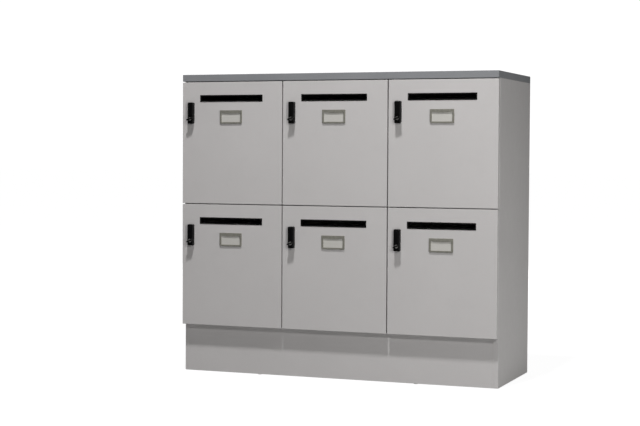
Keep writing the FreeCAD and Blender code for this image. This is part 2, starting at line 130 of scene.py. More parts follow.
class NodeBench:
    """A material's node tree, with its shader and short calls that add and join nodes."""

    MIX_FIRST: ClassVar[int] = 6
    MIX_SECOND: ClassVar[int] = 7
    MIX_RESULT: ClassVar[int] = 2

    def __init__(self, name: str) -> None:
        """Makes a material with one principled shader.

        Args:
            name: The material's name.
        """
        self.material = bpy.data.materials.new(name)
        self.material.use_nodes = True
        self.tree = self.material.node_tree
        self.tree.nodes.clear()
        output = self.add("ShaderNodeOutputMaterial")
        self.shader = self.add("ShaderNodeBsdfPrincipled")
        self.link(self.shader.outputs["BSDF"], output.inputs["Surface"])
        self.place = self.add("ShaderNodeTexCoord").outputs["Object"]

    def add(self, kind: str) -> bpy.types.Node:
        """Adds a node of a kind."""
        return self.tree.nodes.new(kind)

    def link(self, output: Socket, target: Socket) -> None:
        """Joins an output to an input."""
        self.tree.links.new(output, target)

    def set(self, socket: str, value: float | Sequence[float]) -> None:
        """Sets one of the shader's own values."""
        self.shader.inputs[socket].default_value = value

    def feed(self, socket: str, value: Socket) -> None:
        """Joins a pattern to one of the shader's inputs."""
        self.link(value, self.shader.inputs[socket])

    def noise(self, size: float, detail: float = 2.0, stretch: Triple = (1.0, 1.0, 1.0)) -> Socket:
        """Adds a noise pattern in the piece's own coordinates.

        Args:
            size: The size of one mottle, in metres.
            detail: How many finer layers it has.
            stretch: How much longer than its size a mottle is along each axis.

        Returns:
            The pattern's value, about 0.5 on average.
        """
        mapping = self.add("ShaderNodeMapping")
        mapping.inputs["Scale"].default_value = [1.0 / (size * longer) for longer in stretch]
        self.link(self.place, mapping.inputs["Vector"])
        texture = self.add("ShaderNodeTexNoise")
        texture.inputs["Scale"].default_value = 1.0
        texture.inputs["Detail"].default_value = detail
        self.link(mapping.outputs["Vector"], texture.inputs["Vector"])
        return texture.outputs["Fac"]

    def spread(
        self, value: Socket, low: float = 0.0, high: float = 1.0, start: float = 0.3, end: float = 0.7
    ) -> Socket:
        """Maps the middle of a pattern's values to a range.

        Args:
            value: The pattern.
            low: The result where the pattern is low.
            high: The result where it is high.
            start: The pattern's value that counts as low.
            end: The pattern's value that counts as high.

        Returns:
            The mapped value.
        """
        node = self.add("ShaderNodeMapRange")
        node.inputs["From Min"].default_value = start
        node.inputs["From Max"].default_value = end
        node.inputs["To Min"].default_value = low
        node.inputs["To Max"].default_value = high
        self.link(value, node.inputs["Value"])
        return node.outputs["Result"]

    def tint(self, value: Socket, base: Socket | Colour, other: Colour) -> Socket:
        """Mixes a second colour in where a pattern is high.

        Args:
            value: The pattern, from 0 to 1.
            base: The first colour, or another mix.
            other: The second colour.

        Returns:
            The mixed colour.
        """
        node = self.add("ShaderNodeMix")
        node.data_type = "RGBA"
        self.link(value, node.inputs[0])
        if isinstance(base, Socket):
            self.link(base, node.inputs[self.MIX_FIRST])
        else:
            node.inputs[self.MIX_FIRST].default_value = (*base, 1.0)
        node.inputs[self.MIX_SECOND].default_value = (*other, 1.0)
        return node.outputs[self.MIX_RESULT]

    def times(self, value: Socket, factor: Socket | float) -> Socket:
        """Multiplies a pattern, and keeps the result between 0 and 1.

        Args:
            value: The pattern.
            factor: What it is multiplied by, a value or another pattern.

        Returns:
            The product.
        """
        node = self.add("ShaderNodeMath")
        node.operation = "MULTIPLY"
        node.use_clamp = True
        self.link(value, node.inputs[0])
        if isinstance(factor, Socket):
            self.link(factor, node.inputs[1])
        else:
            node.inputs[1].default_value = factor
        return node.outputs[0]

    def sheen(self, roughness: float, swing: float, size: float) -> None:
        """Lets the roughness drift round a value.

        Args:
            roughness: The value.
            swing: How far it drifts to either side.
            size: The size of a patch, in metres.
        """
        patches = self.noise(size, detail=4.0)
        self.feed("Roughness", self.spread(patches, roughness - swing, roughness + swing))

    def bump(self, *heights: tuple[Socket, float]) -> None:
        """Stacks patterns as relief on the surface.

        Args:
            heights: Each pattern with its depth in metres.
        """
        normal = None
        for height, depth in heights:
            node = self.add("ShaderNodeBump")
            node.inputs["Strength"].default_value = 1.0
            node.inputs["Distance"].default_value = depth
            self.link(height, node.inputs["Height"])
            if normal is not None:
                self.link(normal, node.inputs["Normal"])
            normal = node.outputs["Normal"]
        if normal is not None:
            self.feed("Normal", normal)


@dataclass(frozen=True)
class Finish(ABC):
    """A named finish with its main colour."""

    name: str
    colour: Colour

    def shade(self, factor: float) -> Colour:
        """The finish's colour made darker or lighter."""
        return tuple(min(1.0, channel * factor) for channel in self.colour)

    @abstractmethod
    def material(self) -> bpy.types.Material:
        """Builds the finish's material."""


@dataclass(frozen=True)
class BoardFinish(Finish):
    """A coated board: faint clouds in its tone, a fine pearl grain and a few handling marks.

    The marks' pattern runs from mark_start up to 1, and only what is above 0 shows.
    """

    roughness: float
    swing: float = 0.06
    sheen_size: float = 0.03
    cloud: float = 0.015
    cloud_size: float = 0.22
    speckle: float = 0.05
    speckle_size: float = 0.0016
    speckle_tone: float = 0.3
    mark: float = 0.02
    mark_size: float = 0.05
    mark_start: float = -1.6
    mark_tone: float = 0.45
    grain_size: float = 0.0009
    grain_depth: float = 0.00003
    wave_size: float = 0.12
    wave_depth: float = 0.00018

    def material(self) -> bpy.types.Material:
        """Builds the finish's material.

        Returns:
            The material.
        """
        bench = NodeBench(self.name)
        clouds = bench.spread(bench.noise(self.cloud_size, detail=3.0))
        speckles = bench.spread(bench.noise(self.speckle_size))
        marks = bench.spread(bench.noise(self.mark_size, detail=5.0), self.mark_start, 1.0)
        tone = bench.tint(clouds, self.shade(1.0 - self.cloud), self.shade(1.0 + self.cloud))
        tone = bench.tint(bench.times(speckles, self.speckle), tone, self.shade(self.speckle_tone))
        tone = bench.tint(bench.times(marks, self.mark), tone, self.shade(self.mark_tone))
        bench.feed("Base Color", tone)
        bench.sheen(self.roughness, self.swing, self.sheen_size)
        grain = bench.noise(self.grain_size)
        waves = bench.noise(self.wave_size, detail=1.0)
        bench.bump((grain, self.grain_depth), (waves, self.wave_depth))
        return bench.material


@dataclass(frozen=True)
class PlasticFinish(Finish):
    """Moulded plastic with a spark-eroded grain and slightly rubbed patches."""

    roughness: float
    swing: float = 0.08
    sheen_size: float = 0.009
    gloss: float = 0.5
    patch_size: float = 0.012
    patch_tone: float = 1.7
    grain_size: float = 0.0005
    grain_depth: float = 0.00004

    def material(self) -> bpy.types.Material:
        """Builds the finish's material.

        Returns:
            The material.
        """
        bench = NodeBench(self.name)
        bench.set("Specular IOR Level", self.gloss)
        rubbed = bench.spread(bench.noise(self.patch_size, detail=4.0))
        bench.feed("Base Color", bench.tint(rubbed, self.colour, self.shade(self.patch_tone)))
        bench.sheen(self.roughness, self.swing, self.sheen_size)
        bench.bump((bench.noise(self.grain_size, detail=1.0), self.grain_depth))
        return bench.material


@dataclass(frozen=True)
class MetalFinish(Finish):
    """Plated or coated metal with fine brush lines and dull patches."""

    roughness: float
    smoother: float = 0.06
    rougher: float = 0.1
    metallic: float = 1.0
    patch_size: float = 0.008
    patch_tones: tuple[float, float] = (0.86, 1.08)
    brush: Direction = Direction.X
    brush_size: float = 0.0004
    brush_stretch: float = 40.0
    brush_depth: float = 0.00001

    def material(self) -> bpy.types.Material:
        """Builds the finish's material.

        Returns:
            The material.
        """
        bench = NodeBench(self.name)
        bench.set("Metallic", self.metallic)
        lines = bench.noise(self.brush_size, stretch=self.brush.stretch(self.brush_stretch))
        patches = bench.spread(bench.noise(self.patch_size, detail=4.0))
        dull, bright = self.patch_tones
        bench.feed("Base Color", bench.tint(patches, self.shade(dull), self.shade(bright)))
        bench.feed(
            "Roughness", bench.spread(lines, self.roughness - self.smoother, self.roughness + self.rougher))
        bench.bump((lines, self.brush_depth))
        return bench.material


@dataclass(frozen=True)
class PaperFinish(Finish):
    """Uncoated card with fibres that lie across it."""

    roughness: tuple[float, float] = (0.75, 0.9)
    sheen_size: float = 0.004
    fibre_size: float = 0.0007
    fibre_stretch: float = 3.0
    fibre_tones: tuple[float, float] = (0.94, 1.03)
    fibre_depth: float = 0.00002

    def material(self) -> bpy.types.Material:
        """Builds the finish's material.

        Returns:
            The material.
        """
        bench = NodeBench(self.name)
        fibres = bench.noise(self.fibre_size, detail=4.0, stretch=Direction.X.stretch(self.fibre_stretch))
        dark, light = self.fibre_tones
        bench.feed("Base Color", bench.tint(bench.spread(fibres), self.shade(dark), self.shade(light)))
        bench.feed("Roughness", bench.spread(bench.noise(self.sheen_size), *self.roughness))
        bench.bump((fibres, self.fibre_depth))
        return bench.material


@dataclass(frozen=True)
class TimberFinish(Finish):
    """Plain turned wood with grain along one axis."""

    grain: Direction
    roughness: tuple[float, float] = (0.55, 0.75)
    grain_size: float = 0.0012
    grain_stretch: float = 14.0
    grain_tones: tuple[float, float] = (0.75, 1.1)
    grain_depth: float = 0.00004

    def material(self) -> bpy.types.Material:
        """Builds the finish's material.

        Returns:
            The material.
        """
        bench = NodeBench(self.name)
        grain = bench.noise(self.grain_size, detail=4.0, stretch=self.grain.stretch(self.grain_stretch))
        dark, light = self.grain_tones
        bench.feed("Base Color", bench.tint(bench.spread(grain), self.shade(dark), self.shade(light)))
        bench.feed("Roughness", bench.spread(grain, *self.roughness))
        bench.bump((grain, self.grain_depth))
        return bench.material


class Palette(Enum):
    """The cabinet's finishes. Those of its solids have the names of the record's material slots."""

    PALE_BOARD = BoardFinish("pale_board", (0.605, 0.595, 0.592), 0.42)
    BACK_BOARD = BoardFinish("back_board", (0.57, 0.56, 0.545), 0.6, cloud=0.03, speckle=0.1)
    SLATE_BOARD = BoardFinish(
        "slate_board", (0.27, 0.28, 0.295), 0.56, cloud=0.05, speckle=0.16, speckle_size=0.0012)
    SLOT_PLASTIC = PlasticFinish("slot_plastic", (0.002, 0.002, 0.002), 0.55, gloss=0.15)
    LOCK_PLASTIC = PlasticFinish("lock_plastic", (0.0016, 0.0016, 0.0018), 0.45, gloss=0.14)
    KEY_PLASTIC = PlasticFinish("key_plastic", (0.002, 0.002, 0.002), 0.38, gloss=0.2)
    GLIDE_PLASTIC = PlasticFinish("glide_plastic", (0.5, 0.5, 0.49), 0.5)
    BUMPER_RUBBER = PlasticFinish("bumper_rubber", (0.42, 0.42, 0.40), 0.45)
    LABEL_METAL = MetalFinish("label_metal", (0.29, 0.287, 0.25), 0.45, metallic=0.3)
    LOCK_METAL = MetalFinish("lock_metal", (0.78, 0.78, 0.76), 0.36, brush=Direction.Z)
    PLATED_STEEL = MetalFinish("plated_steel", (0.58, 0.57, 0.54), 0.3, brush=Direction.Z)
    SCREW_STEEL = MetalFinish("screw_steel", (0.55, 0.55, 0.54), 0.34, brush=Direction.Y)
    BLANK_CARD = PaperFinish("blank_card", (0.575, 0.57, 0.537))
    DOWEL_WOOD = TimberFinish("dowel_wood", (0.60, 0.44, 0.27), Direction.X)

    @classmethod
    def for_slot(cls, slot: str) -> Finish:
        """The finish of one of the record's material slots."""
        return cls[slot.upper()].value


class Workshop:
    """Makes each finish once and puts it on pieces."""

    def __init__(self) -> None:
        """Starts with no finish made."""
        self.made: dict[str, bpy.types.Material] = {}

    def coat(self, piece: Piece, finish: Finish) -> None:
        """Gives a piece one finish all over.

        Args:
            piece: The piece.
            finish: Its finish.
        """
        if finish.name not in self.made:
            self.made[finish.name] = finish.material()
        piece.data.materials.clear()
        piece.data.materials.append(self.made[finish.name])


# Modelling by hand

def choose(*pieces: Piece) -> None:
    """Selects only these pieces, with the first one active.

    Args:
        pieces: The pieces.
    """
    bpy.ops.object.select_all(action="DESELECT")
    for piece in pieces:
        piece.select_set(True)
    bpy.context.view_layer.objects.active = pieces[0]


def name_piece(piece: Piece, name: str) -> Piece:
    """Names a piece and its mesh."""
    piece.name = piece.data.name = name
    return piece


def set_down(piece: Piece) -> Piece:
    """Moves a piece's place, turn and scale into its mesh.

    Args:
        piece: The piece.

    Returns:
        The same piece.
    """
    choose(piece)
    bpy.ops.object.transform_apply(location=True, rotation=True, scale=True)
    return piece


def add_block(name: str, low: Vector, high: Vector) -> Piece:
    """Adds a box as the start of a piece.

    Args:
        name: The piece's name.
        low: Its lowest corner.
        high: Its highest corner.

    Returns:
        The box.
    """
    bpy.ops.object.select_all(action="DESELECT")
    bpy.ops.mesh.primitive_cube_add(size=1.0, location=(low + high) / 2)
    piece = name_piece(bpy.context.object, name)
    piece.scale = high - low
    return set_down(piece)


def add_rod(
    name: str, start: Vector, length: float, radius: float, along: Direction = Direction.Y, sides: int = 48
) -> Piece:
    """Adds a round bar as the start of a piece.

    Args:
        name: The piece's name.
        start: The middle of its first end.
        length: How far it runs along the axis.
        radius: Its radius.
        along: The axis that it runs along.
        sides: How many sides it has.

    Returns:
        The bar.
    """
    turns = {
        Direction.X: (0.0, math.pi / 2, 0.0),
        Direction.Y: (-math.pi / 2, 0.0, 0.0),
        Direction.Z: (0.0, 0.0, 0.0),
    }
    bpy.ops.object.select_all(action="DESELECT")
    bpy.ops.mesh.primitive_cylinder_add(
        vertices=sides,
        radius=radius,
        depth=length,
        location=start + along.vector * (length / 2),
        rotation=turns[along],
    )
    return set_down(name_piece(bpy.context.object, name))


@contextmanager
def editing(piece: Piece, kind: Pick) -> Iterator[None]:
    """Edit mode on a piece, with nothing picked at the start.

    Args:
        piece: The piece.
        kind: What is to be picked.

    Yields:
        Nothing, while the piece is in edit mode.
    """
    choose(piece)
    bpy.ops.object.mode_set(mode="EDIT")
    bpy.ops.mesh.select_mode(type=kind.value)
    bpy.ops.mesh.select_all(action="DESELECT")
    yield
    bpy.ops.object.mode_set(mode="OBJECT")


def pick_where(piece: Piece, kind: Pick, test: Test) -> None:
    """Picks only the points, edges or faces that pass a test.

    Args:
        piece: The piece, in edit mode.
        kind: What is picked.
        test: Says whether one of them is picked.
    """
    bpy.ops.mesh.select_all(action="DESELECT")
    mesh = bmesh.from_edit_mesh(piece.data)
    elements = {Pick.POINT: mesh.verts, Pick.EDGE: mesh.edges, Pick.FACE: mesh.faces}[kind]
    for element in elements:
        if test(element):
            element.select_set(True)
    if kind is Pick.POINT:
        mesh.select_flush(True)
    bmesh.update_edit_mesh(piece.data)


def runs_along(direction: Direction) -> Test:
    """A test for edges that run along an axis.

    Args:
        direction: The axis.

    Returns:
        The test.
    """
    def test(edge: Element) -> bool:
        """Whether the edge runs along the axis."""
        run = edge.verts[1].co - edge.verts[0].co
        return abs(run.normalized().dot(direction.vector)) > ALIGNED

    return test


def lies_at(direction: Direction, place: float) -> Test:
    """A test for edges or faces that lie wholly in a plane square to an axis.

    Args:
        direction: The axis.
        place: Where the plane is along it.

    Returns:
        The test.
    """
    def test(element: Element) -> bool:
        """Whether every point of the element is in the plane."""
        return all(abs(point.co.dot(direction.vector) - place) < TOUCH for point in element.verts)

    return test


def soften(piece: Piece, test: Test, width: float, segments: int = 3) -> None:
    """Rounds the edges of a piece that pass a test.

    Args:
        piece: The piece.
        test: Says whether an edge is rounded.
        width: How far the rounding reaches from the edge.
        segments: How many facets it has.
    """
    with editing(piece, Pick.EDGE):
        pick_where(piece, Pick.EDGE, test)
        bpy.ops.mesh.bevel(offset=width, segments=segments, affect="EDGES")


def merge(name: str, *pieces: Piece) -> Piece:
    """Joins several meshes into one piece.

    Args:
        name: The piece's name.
        pieces: The meshes.

    Returns:
        The piece.
    """
    choose(*pieces)
    bpy.ops.object.join()
    return name_piece(bpy.context.object, name)


def smooth(piece: Piece, angle: float = 32.0) -> None:
    """Shades a piece smooth but for its sharp edges, and keeps its flat faces flat.

    Args:
        piece: The piece.
        angle: How sharp an edge stays, in degrees.
    """
    choose(piece)
    bpy.ops.object.shade_smooth_by_angle(angle=math.radians(angle))
    modifier = piece.modifiers.new("flat_faces", "WEIGHTED_NORMAL")
    modifier.keep_sharp = True
    bpy.ops.object.modifier_apply(modifier=modifier.name)


def round_off(piece: Piece, width: float, segments: int = 2, angle: float = 40.0) -> None:
    """Rounds every sharp edge a little and shades the piece smooth between them.

    Args:
        piece: The piece.
        width: How far the rounding reaches from an edge.
        segments: How many facets it has.
        angle: How sharp an edge is rounded, in degrees.
    """
    modifier = piece.modifiers.new("soft_edges", "BEVEL")
    modifier.width = width
    modifier.segments = segments
    modifier.limit_method = "ANGLE"
    modifier.angle_limit = math.radians(angle)
    choose(piece)
    bpy.ops.object.modifier_apply(modifier=modifier.name)
    smooth(piece)


def blend(piece: Piece, other: Piece, how: Blend) -> None:
    """Adds a second mesh to a piece, or cuts it out, and removes the second one.

    Args:
        piece: The piece.
        other: The second mesh.
        how: Whether it is added or cut out.
    """
    modifier = piece.modifiers.new("blend", "BOOLEAN")
    modifier.object = other
    modifier.operation = how.value
    modifier.solver = "EXACT"
    choose(piece)
    bpy.ops.object.modifier_apply(modifier=modifier.name)
    bpy.data.objects.remove(other)


def copied(pattern: Piece, name: str, offset: Vector) -> Piece:
    """Copies a piece, with its own mesh, to another place.

    Args:
        pattern: The piece.
        name: The copy's name.
        offset: How far it is moved.

    Returns:
        The copy.
    """
    copy = pattern.copy()
    copy.data = pattern.data.copy()
    name_piece(copy, name)
    bpy.context.scene.collection.objects.link(copy)
    copy.location = offset
    return set_down(copy)


# Hardware of the doors

@dataclass(frozen=True)
class Fitting:
    """What a kind of hardware is called, what carries it, its finish, and the solid that it stands for."""

    noun: str
    carrier: Carrier
    finish: Palette
    node: str | None = None


class Hardware(ABC):
    """A kind of hardware that every door has."""

    fitting: ClassVar[Fitting]

    @abstractmethod
    def build(self, cell: str) -> Piece:
        """Models the hardware of one door.

        Args:
            cell: The mailbox's name.

        Returns:
            The piece.
        """

    def name_on(self, cell: str) -> str:
        """The name of the piece on one door."""
        return f"{cell}_{self.fitting.noun}"

    def dress(self, piece: Piece, workshop: Workshop) -> None:
        """Coats a piece with its finish."""
        workshop.coat(piece, self.fitting.finish.value)

    def fit(self, piece: Piece, cell: str) -> None:
        """Lets a piece ride on its mailbox's door or lock, and stand for its solid if it has one.

        Args:
            piece: The piece.
            cell: The mailbox's name.
        """
        body = f"{cell}_{self.fitting.carrier.value}"
        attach(piece, body)
        if self.fitting.node:
            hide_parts(f"{cell}_{self.fitting.node}")
        LOG.info("%s on %s", piece.name, body)


def lock_axis(cell: str) -> Vector:
    """Where the axis of a mailbox's lock meets the door's face."""
    joint = next(joint for joint in frame["joints"] if joint["name"] == f"{cell}_lock_turn")
    return Vector(joint["pos_m"])


@dataclass
class MailSlot(Hardware):
    """The black sleeve through a door, with a thin lip on its face."""

    fitting: ClassVar[Fitting] = Fitting("slot_sleeve", Carrier.DOOR, Palette.SLOT_PLASTIC, "slot_liner")

    wall: float = 0.0015
    lip: float = 0.003
    lip_thickness: float = 0.001
    mouth_round: float = 0.0006

    def build(self, cell: str) -> Piece:
        """Models the sleeve of one door.

        Args:
            cell: The mailbox's name.

        Returns:
            The sleeve.
        """
        low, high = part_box(f"{cell}_slot_liner")
        inset = Vector((self.lip, 0.0, self.lip))
        piece = add_block(self.name_on(cell), low + inset, high - inset)
        lip_rear = low.y + self.lip_thickness
        at_front = lies_at(Direction.Y, low.y)
        with editing(piece, Pick.FACE):
            bpy.ops.mesh.select_all(action="SELECT")
            bpy.ops.mesh.bisect(plane_co=(0.0, lip_rear, 0.0), plane_no=Direction.Y.value)
            pick_where(
                piece, Pick.FACE, lambda face: face.calc_center_median().y < lip_rear and not at_front(face))
            bpy.ops.mesh.extrude_region_shrink_fatten(
                TRANSFORM_OT_shrink_fatten={"value": self.lip, "use_even_offset": True})
        with editing(piece, Pick.FACE):
            pick_where(piece, Pick.FACE, at_front)
            bpy.ops.mesh.dissolve_faces()
        self.open_mouth(piece, low.y, high.y)
        soften(piece, at_front, self.mouth_round)
        smooth(piece)
        return piece

    def open_mouth(self, piece: Piece, front: float, rear: float) -> None:
        """Opens the sleeve from end to end.

        Args:
            piece: The sleeve as a solid block with its lip.
            front: Where its front end is.
            rear: Where its rear end is.
        """
        rims = {front: self.lip + self.wall, rear: self.wall}
        with editing(piece, Pick.FACE):
            for place, rim in rims.items():
                pick_where(piece, Pick.FACE, lies_at(Direction.Y, place))
                bpy.ops.mesh.inset(thickness=rim, use_even_offset=True)
            faces = bmesh.from_edit_mesh(piece.data).faces
            mouths = [
                max(filter(lies_at(Direction.Y, place), faces), key=lambda face: face.calc_area())
                for place in rims
            ]
            pick_where(piece, Pick.FACE, lambda face: face in mouths)
            bpy.ops.mesh.bridge_edge_loops()


@dataclass
class CardFrame(Hardware):
    """The metal label holder, with an arched upper rim and a pocket for the card behind it."""

    fitting: ClassVar[Fitting] = Fitting("card_frame", Carrier.DOOR, Palette.LABEL_METAL, "label_holder")

    side_rim: float = 0.007
    top_rim: float = 0.0097
    bottom_rim: float = 0.006
    arch: float = 0.0022
    arch_steps: int = 14
    notch: float = 0.003
    corner: float = 0.0012
    front_bevel: float = 0.001
    window_bevel: float = 0.0007
    pocket: float = 0.0009
    pocket_margin: float = 0.0038
    rivet_radius: float = 0.0014
    rivet_height: float = 0.00049
    rivet_round: float = 0.0003675
    rivet_inset: float = 0.0038
    rivet_sides: int = 16

    def build(self, cell: str) -> Piece:
        """Models the label holder of one door.

        Args:
            cell: The mailbox's name.

        Returns:
            The holder.
        """
        low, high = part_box(f"{cell}_label_holder")
        piece = add_block(self.name_on(cell), low, high)
        runs_back = runs_along(Direction.Y)
        middle = (low.z + high.z) / 2
        soften(piece, lambda edge: runs_back(edge) and edge.verts[0].co.z < middle, self.notch, segments=1)
        soften(piece, lambda edge: runs_back(edge) and edge.verts[0].co.z > middle, self.corner)
        soften(piece, lies_at(Direction.Y, low.y), self.front_bevel, segments=2)
        blend(piece, self.window(low, high), Blend.CUT)
        margin = Vector((self.pocket_margin, 0.0, self.pocket_margin))
        pocket_low = Vector((low.x, high.y - self.pocket, low.z)) + margin
        pocket = add_block("pocket", pocket_low, high - margin + Vector((0.0, self.pocket, 0.0)))
        blend(piece, pocket, Blend.CUT)
        rivets = [
            self.rivet(x, low.y, z)
            for x in (low.x + self.rivet_inset, high.x - self.rivet_inset)
            for z in (low.z + self.bottom_rim / 2, high.z - self.top_rim / 2)
        ]
        blend(piece, merge("rivets", *rivets), Blend.ADD)
        smooth(piece)
        return piece

    def window(self, low: Vector, high: Vector) -> Piece:
        """Models the shape that cuts the window: bowed at its upper edge, and wider in a curve at the front.

        Args:
            low: The holder's lowest corner.
            high: The holder's highest corner.

        Returns:
            The cutting shape.
        """
        ease = self.window_bevel
        start = Vector((low.x + self.side_rim, low.y + ease, low.z + self.bottom_rim))
        end = Vector((high.x - self.side_rim, high.y + ease, high.z - self.top_rim))
        cutter = add_block("window", start, end)
        self.bow_upper_edge(cutter, start.x, end.x, end.z)
        size = end - start
        slow = ease * (1.0 - math.sqrt(0.5))
        fast = ease - slow
        with editing(cutter, Pick.FACE):
            pick_where(cutter, Pick.FACE, lies_at(Direction.Y, start.y))
            for forward, wider in ((fast, slow), (slow, fast), (ease, 0.0)):
                bpy.ops.mesh.extrude_region_move(TRANSFORM_OT_translate={"value": (0.0, -forward, 0.0)})
                bpy.ops.transform.resize(
                    value=(1.0 + 2 * wider / size.x, 1.0, 1.0 + 2 * wider / size.z),
                    center_override=(start + end) / 2,
                )
        return cutter

    def bow_upper_edge(self, piece: Piece, left: float, right: float, level: float) -> None:
        """Cuts a block into upright steps and bows its upper edge down in the middle.

        Args:
            piece: The block.
            left: Its left edge.
            right: Its right edge.
            level: The height of its upper edge.
        """
        middle = (left + right) / 2
        half = (right - left) / 2
        places = [left + (right - left) * step / self.arch_steps for step in range(1, self.arch_steps)]
        for place in places:
            with editing(piece, Pick.POINT):
                bpy.ops.mesh.select_all(action="SELECT")
                bpy.ops.mesh.bisect(plane_co=(place, 0.0, 0.0), plane_no=Direction.X.value)
        with editing(piece, Pick.POINT):
            for place in places:
                pick_where(
                    piece,
                    Pick.POINT,
                    lambda point, x=place: abs(point.co.x - x) < TOUCH and abs(point.co.z - level) < TOUCH,
                )
                drop = self.arch * (1.0 - ((place - middle) / half) ** 2)
                bpy.ops.transform.translate(value=(0.0, 0.0, -drop))

    def rivet(self, x: float, front: float, z: float) -> Piece:
        """Models one low domed rivet head on the rim.

        Args:
            x: Its place across the rim.
            front: Where the rim's front is.
            z: Its height.

        Returns:
            The rivet head.
        """
        top = front - self.rivet_height
        start = Vector((x, top, z))
        head = add_rod("rivet", start, self.rivet_height * 2, self.rivet_radius, sides=self.rivet_sides)
        soften(head, lies_at(Direction.Y, top), self.rivet_round)
        return head


@dataclass
class BlankCard(Hardware):
    """The blank card in a label holder's pocket."""

    fitting: ClassVar[Fitting] = Fitting("card", Carrier.DOOR, Palette.BLANK_CARD)

    margin: float = 0.0042
    thickness: float = 0.0004
    rear_gap: float = 0.0002
    corner: float = 0.0012

    def build(self, cell: str) -> Piece:
        """Models the card of one door.

        Args:
            cell: The mailbox's name.

        Returns:
            The card.
        """
        low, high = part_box(f"{cell}_label_holder")
        margin = Vector((self.margin, 0.0, self.margin))
        corner = Vector((low.x, high.y - self.thickness - self.rear_gap, low.z)) + margin
        piece = add_block(self.name_on(cell), corner, high - margin - Vector((0.0, self.rear_gap, 0.0)))
        soften(piece, runs_along(Direction.Y), self.corner)
        smooth(piece)
        return piece


@dataclass
class LockBar(Hardware):
    """The black bar of a lock, with a rib, a collar for the core, the barrel behind the door and its nut."""

    fitting: ClassVar[Fitting] = Fitting("lock_bar", Carrier.DOOR, Palette.LOCK_PLASTIC, "lock_body")

    width: float = 0.023
    height: float = 0.078
    depth: float = 0.015
    axis_rise: float = 0.0175
    corner: float = 0.004
    edge: float = 0.0036
    rib_margin: float = 0.0062
    rib_top_margin: float = 0.00744
    rib_foot: float = 0.01376
    rib_height: float = 0.0007
    rib_corner: float = 0.00372
    rib_edge: float = 0.00063
    collar_radius: float = 0.0086
    collar_height: float = 0.0014
    collar_bore: float = 0.0069
    barrel_radius: float = 0.008
    barrel_tail: float = 0.0055
    end_round: float = 0.0004
    core_bore: float = 0.0052
    nut_sides: int = 6
    nut_radius: float = 0.012
    nut_thickness: float = 0.004
    nut_round: float = 0.0006

    def build(self, cell: str) -> Piece:
        """Models the lock bar of one door.

        Args:
            cell: The mailbox's name.

        Returns:
            The bar.
        """
        axis = lock_axis(cell)
        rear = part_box(f"{cell}_door_panel")[1].y
        front = axis.y - self.depth
        end = rear + self.barrel_tail
        piece = name_piece(self.bar(axis, front), self.name_on(cell))
        for part in (self.collar(axis, front), self.barrel(axis, end), self.nut(axis, rear)):
            blend(piece, part, Blend.ADD)
        seat_start = Vector((axis.x, front - self.collar_height * 2, axis.z))
        blend(piece, add_rod("seat", seat_start, self.collar_height * 2, self.collar_bore), Blend.CUT)
        bore = add_rod("bore", seat_start, end - seat_start.y + self.collar_height, self.core_bore)
        blend(piece, bore, Blend.CUT)
        smooth(piece)
        return piece

    def bar(self, axis: Vector, front: float) -> Piece:
        """Models the bar, rounded all round, with a low rib above the core.

        Args:
            axis: Where the lock's axis meets the door's face.
            front: Where the bar's front is.

        Returns:
            The bar.
        """
        bottom = axis.z - self.axis_rise
        low = Vector((axis.x - self.width / 2, front, bottom))
        high = Vector((axis.x + self.width / 2, axis.y, bottom + self.height))
        bar = add_block("bar", low, high)
        soften(bar, runs_along(Direction.Y), self.corner, segments=6)
        soften(bar, lies_at(Direction.Y, front), self.edge, segments=5)
        rib_low = Vector((low.x + self.rib_margin, front - self.rib_height, axis.z + self.rib_foot))
        rib_high = Vector((high.x - self.rib_margin, front + self.rib_height, high.z - self.rib_top_margin))
        rib = add_block("rib", rib_low, rib_high)
        soften(rib, runs_along(Direction.Y), self.rib_corner, segments=6)
        soften(rib, lies_at(Direction.Y, rib_low.y), self.rib_edge)
        blend(bar, rib, Blend.ADD)
        return bar

    def collar(self, axis: Vector, front: float) -> Piece:
        """Models the round collar on the bar's front, for the core's face.

        Args:
            axis: Where the lock's axis meets the door's face.
            front: Where the bar's front is.

        Returns:
            The collar.
        """
        rim = front - self.collar_height
        collar = add_rod("collar", Vector((axis.x, rim, axis.z)), self.collar_height * 2, self.collar_radius)
        soften(collar, lies_at(Direction.Y, rim), self.end_round, segments=2)
        return collar

    def barrel(self, axis: Vector, end: float) -> Piece:
        """Models the barrel from inside the bar to its end behind the door.

        Args:
            axis: Where the lock's axis meets the door's face.
            end: Where the barrel ends.

        Returns:
            The barrel.
        """
        start = axis - Direction.Y.vector * (self.depth / 2)
        barrel = add_rod("barrel", start, end - start.y, self.barrel_radius)
        soften(barrel, lies_at(Direction.Y, end), self.end_round, segments=2)
        return barrel

    def nut(self, axis: Vector, rear: float) -> Piece:
        """Models the six-sided nut on the barrel.

        Args:
            axis: Where the lock's axis meets the door's face.
            rear: Where the door's back is.

        Returns:
            The nut.
        """
        start = Vector((axis.x, rear, axis.z))
        nut = add_rod("nut", start, self.nut_thickness, self.nut_radius, sides=self.nut_sides)
        soften(nut, lambda edge: True, self.nut_round, segments=2)
        return nut


